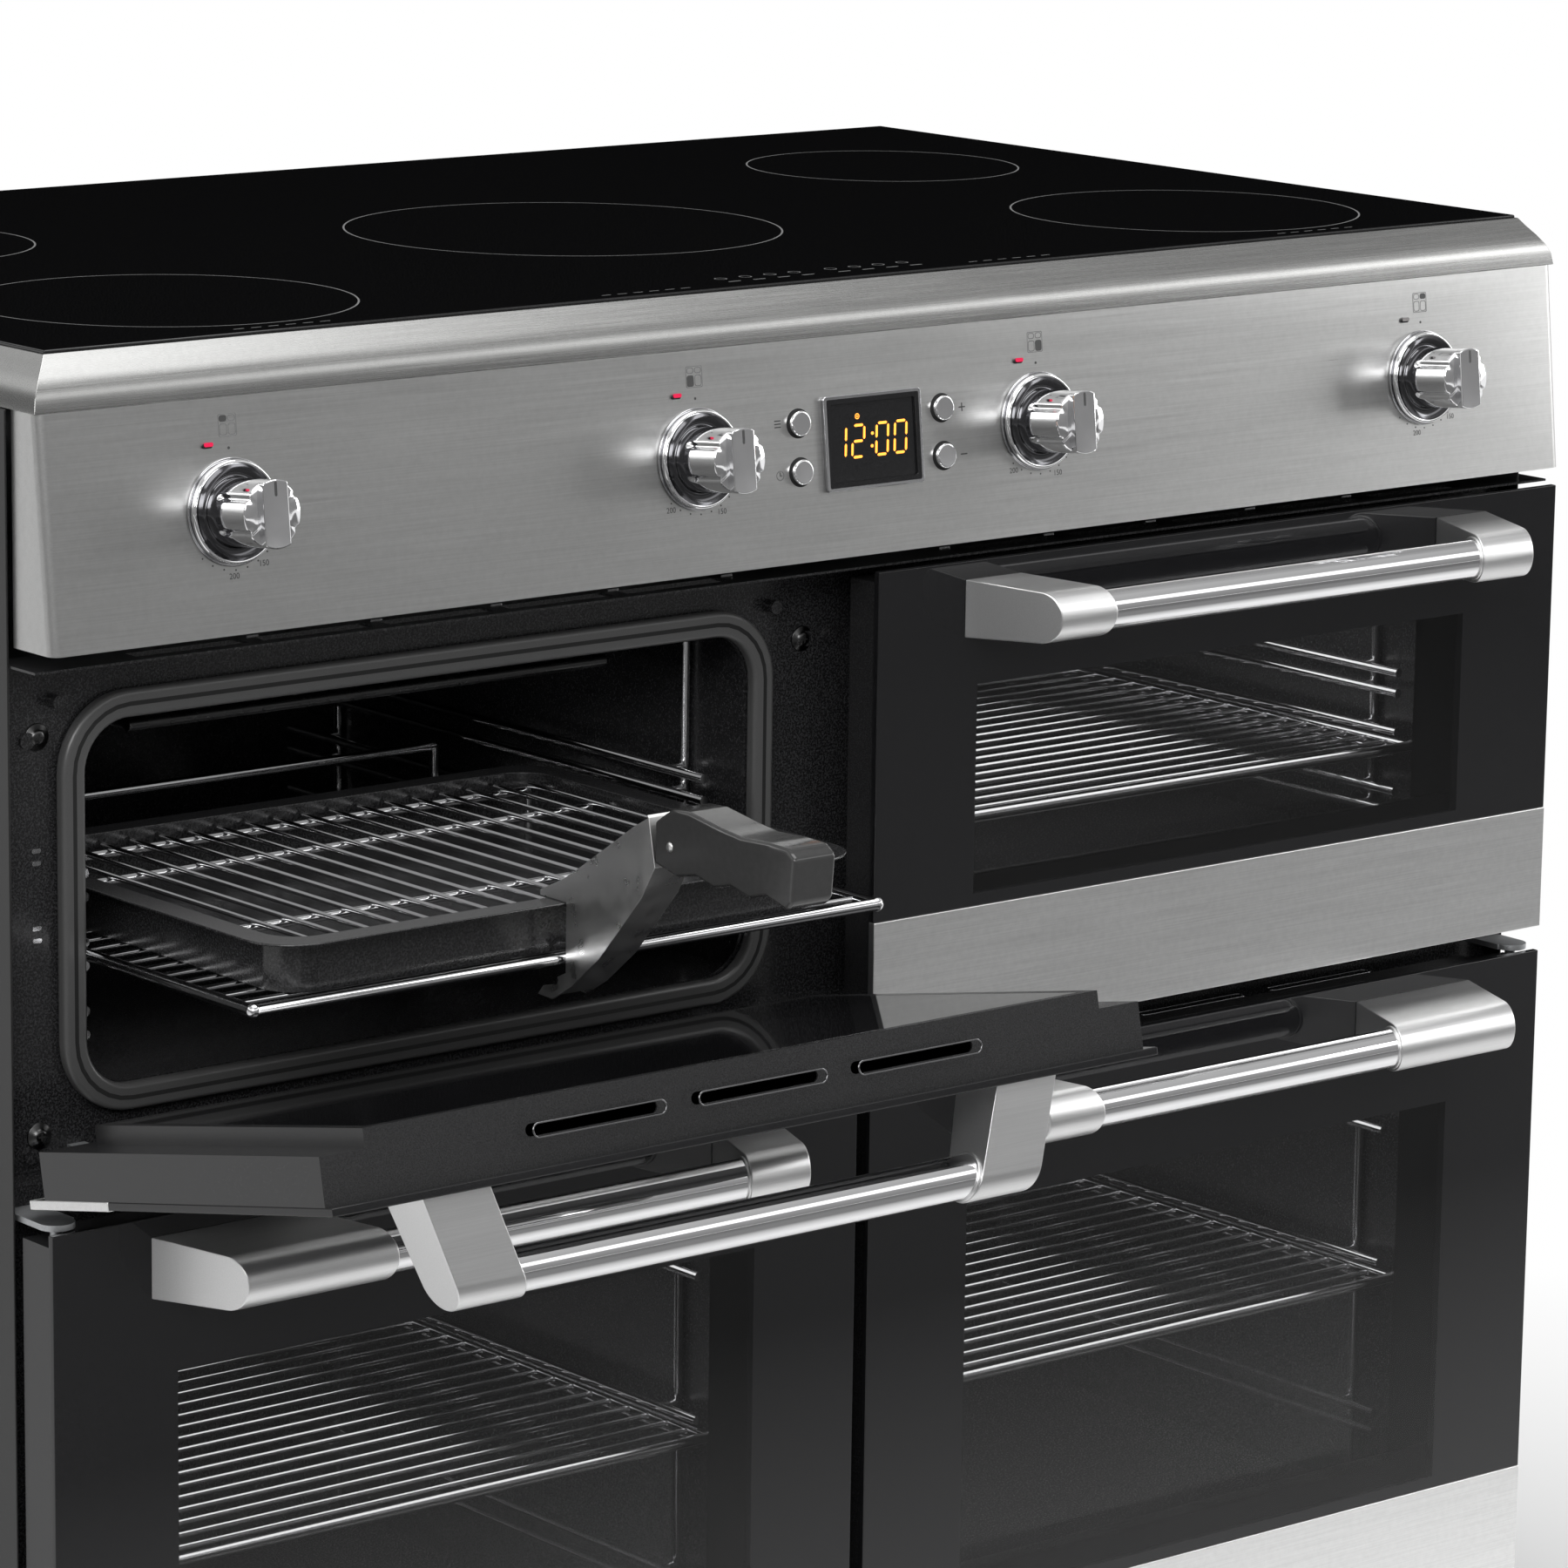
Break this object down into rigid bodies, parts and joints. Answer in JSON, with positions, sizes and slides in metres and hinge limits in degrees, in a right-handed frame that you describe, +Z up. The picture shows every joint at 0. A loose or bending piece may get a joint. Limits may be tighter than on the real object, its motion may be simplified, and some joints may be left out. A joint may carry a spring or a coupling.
{
  "type": "electric range cooker",
  "caption": "Freestanding range cooker with an induction hob, a knob panel with a clock, two drop-down upper doors and two side-hung lower doors",
  "frame": {"origin": "centre of the footprint of everything shown, on the floor under the feet", "axes": "+X to the right as seen from the front, +Y to the back, +Z up"},
  "size_m": [1, 0.839, 0.9],
  "materials": {
    "black_paint": "satin",
    "galvanised": "matte",
    "foot_plastic": "matte",
    "black_enamel": "gloss",
    "oven_enamel": "gloss",
    "seal_rubber": "matte",
    "chrome_wire": "polished",
    "hinge_steel": "satin",
    "element_steel": "matte",
    "fan_aluminium": "satin",
    "hob_ceramic_glass": "gloss",
    "stainless_steel": "brushed",
    "chrome_plate": "polished",
    "dark_glass": "gloss",
    "inner_plastic": "matte",
    "pan_enamel": "gloss",
    "polished_steel": "polished",
    "grip_plastic": "gloss",
    "door_glass": "gloss",
    "satin_aluminium": "satin"
  },
  "bodies": {
    "cooker": {"side_panels": "black_paint", "back_panel": "galvanised", "base_tray": "galvanised", "plinth": "black_paint", "feet": "foot_plastic", "front_frame": "black_enamel", "upper_liners": "oven_enamel", "lower_liners": "oven_enamel", "door_seals": "seal_rubber", "side_racks": "chrome_wire", "door_hinges": "hinge_steel", "heating_elements": "element_steel", "fan_covers": "oven_enamel", "fan_motors": "galvanised", "hob_glass": "hob_ceramic_glass", "hob_trim": "stainless_steel", "induction_units": "fan_aluminium", "control_panel": "stainless_steel", "panel_bezels": "chrome_plate", "display_lenses": "dark_glass", "switch_bodies": "inner_plastic", "terminal_box": "inner_plastic"},
    "clock_button": {"clock_button": "chrome_plate"},
    "function_button": {"function_button": "chrome_plate"},
    "grill_knob": {"grill_knob": "chrome_plate"},
    "left_oven_fan": {"left_oven_fan": "fan_aluminium"},
    "left_oven_knob": {"left_oven_knob": "chrome_plate"},
    "left_oven_shelf": {"left_oven_shelf": "chrome_wire"},
    "minus_button": {"minus_button": "chrome_plate"},
    "plus_button": {"plus_button": "chrome_plate"},
    "right_oven_fan": {"right_oven_fan": "fan_aluminium"},
    "right_oven_knob": {"right_oven_knob": "chrome_plate"},
    "right_oven_shelf": {"right_oven_shelf": "chrome_wire"},
    "top_oven_knob": {"top_oven_knob": "chrome_plate"},
    "top_oven_shelf": {"top_oven_shelf": "chrome_wire"},
    "grill_carriage": {"grill_shelf": "chrome_wire", "grill_pan": "pan_enamel", "grill_rack": "chrome_wire"},
    "pan_handle": {"pan_handle_bracket": "polished_steel", "pan_handle_grip": "grip_plastic"},
    "grill_door": {"grill_door_frame": "black_enamel", "grill_door_glass": "door_glass", "grill_door_band": "stainless_steel", "grill_door_bar": "chrome_plate", "grill_door_brackets": "satin_aluminium"},
    "top_oven_door": {"top_oven_door_frame": "black_enamel", "top_oven_door_glass": "door_glass", "top_oven_door_band": "stainless_steel", "top_oven_door_bar": "chrome_plate", "top_oven_door_brackets": "satin_aluminium"},
    "left_oven_door": {"left_oven_door_frame": "black_enamel", "left_oven_door_glass": "door_glass", "left_oven_door_band": "stainless_steel", "left_oven_door_bar": "chrome_plate", "left_oven_door_brackets": "satin_aluminium"},
    "right_oven_door": {"right_oven_door_frame": "black_enamel", "right_oven_door_glass": "door_glass", "right_oven_door_band": "stainless_steel", "right_oven_door_bar": "chrome_plate", "right_oven_door_brackets": "satin_aluminium"}
  },
  "joints": [
    {"name": "grill_door_hinge", "type": "hinge", "parent": "cooker", "child": "grill_door", "pos_m": [-0.25, -0.148, 0.5074], "axis": [-1, 0, 0], "range_deg": [0, 78.2]},
    {"name": "top_oven_door_hinge", "type": "hinge", "parent": "cooker", "child": "top_oven_door", "pos_m": [0.25, -0.148, 0.5074], "axis": [-1, 0, 0], "range_deg": [-78.2, 0]},
    {"name": "left_oven_door_hinge", "type": "hinge", "parent": "cooker", "child": "left_oven_door", "pos_m": [-0.488, -0.148, 0.2968], "axis": [0, 0, -1], "range_deg": [0, 100]},
    {"name": "right_oven_door_hinge", "type": "hinge", "parent": "cooker", "child": "right_oven_door", "pos_m": [0.488, -0.148, 0.2968], "axis": [0, 0, 1], "range_deg": [0, 100]},
    {"name": "grill_carriage_slide", "type": "slide", "parent": "cooker", "child": "grill_carriage", "axis": [0, 1, 0], "range_m": [-0.0005, 0.1285]},
    {"name": "pan_handle_lift", "type": "slide", "parent": "cooker", "child": "pan_handle", "axis": [0, -0.7071, 0.7071], "range_m": [-0.0005, 0.4697]},
    {"name": "top_oven_shelf_slide", "type": "slide", "parent": "cooker", "child": "top_oven_shelf", "axis": [0, 1, 0], "range_m": [-0.1105, 0.0005]},
    {"name": "left_oven_shelf_slide", "type": "slide", "parent": "cooker", "child": "left_oven_shelf", "axis": [0, -1, 0], "range_m": [-0.0005, 0.09998]},
    {"name": "right_oven_shelf_slide", "type": "slide", "parent": "cooker", "child": "right_oven_shelf", "axis": [0, -1, 0], "range_m": [-0.0005, 0.09998]},
    {"name": "grill_knob_turn", "type": "hinge", "parent": "cooker", "child": "grill_knob", "pos_m": [-0.3925, -0.1578, 0.81891], "axis": [0, 0.9943, -0.1065], "range_deg": [0, 300]},
    {"name": "left_oven_knob_turn", "type": "hinge", "parent": "cooker", "child": "left_oven_knob", "pos_m": [-0.1127, -0.1578, 0.81891], "axis": [0, 0.9943, -0.1065], "range_deg": [0, 300]},
    {"name": "right_oven_knob_turn", "type": "hinge", "parent": "cooker", "child": "right_oven_knob", "pos_m": [0.1127, -0.1578, 0.81891], "axis": [0, 0.9943, -0.1065], "range_deg": [0, 300]},
    {"name": "top_oven_knob_turn", "type": "hinge", "parent": "cooker", "child": "top_oven_knob", "pos_m": [0.3925, -0.1578, 0.81891], "axis": [0, 0.9943, -0.1065], "range_deg": [0, 300]},
    {"name": "function_button_press", "type": "slide", "parent": "cooker", "child": "function_button", "axis": [0, 0.9943, -0.1065], "range_m": [0, 0.0015], "stiffness_N_per_m": 400},
    {"name": "clock_button_press", "type": "slide", "parent": "cooker", "child": "clock_button", "axis": [0, 0.9943, -0.1065], "range_m": [0, 0.0015], "stiffness_N_per_m": 400},
    {"name": "plus_button_press", "type": "slide", "parent": "cooker", "child": "plus_button", "axis": [0, 0.9943, -0.1065], "range_m": [0, 0.0015], "stiffness_N_per_m": 400},
    {"name": "minus_button_press", "type": "slide", "parent": "cooker", "child": "minus_button", "axis": [0, 0.9943, -0.1065], "range_m": [0, 0.0015], "stiffness_N_per_m": 400},
    {"name": "left_oven_fan_spin", "type": "hinge", "parent": "cooker", "child": "left_oven_fan", "pos_m": [-0.25, 0.3095, 0.3022], "axis": [0, 1, 0], "continuous": true},
    {"name": "right_oven_fan_spin", "type": "hinge", "parent": "cooker", "child": "right_oven_fan", "pos_m": [0.25, 0.3095, 0.3022], "axis": [0, 1, 0], "continuous": true}
  ],
  "couplings": [
    {"joint": "grill_carriage_slide", "follows": "grill_door_hinge", "m_per_rad": 0.093783},
    {"joint": "pan_handle_lift", "follows": "grill_door_hinge", "m_per_rad": 0.34377},
    {"joint": "top_oven_shelf_slide", "follows": "top_oven_door_hinge", "m_per_rad": 0.080595},
    {"joint": "left_oven_shelf_slide", "follows": "left_oven_door_hinge", "m_per_rad": 0.057},
    {"joint": "right_oven_shelf_slide", "follows": "right_oven_door_hinge", "m_per_rad": 0.057}
  ]
}
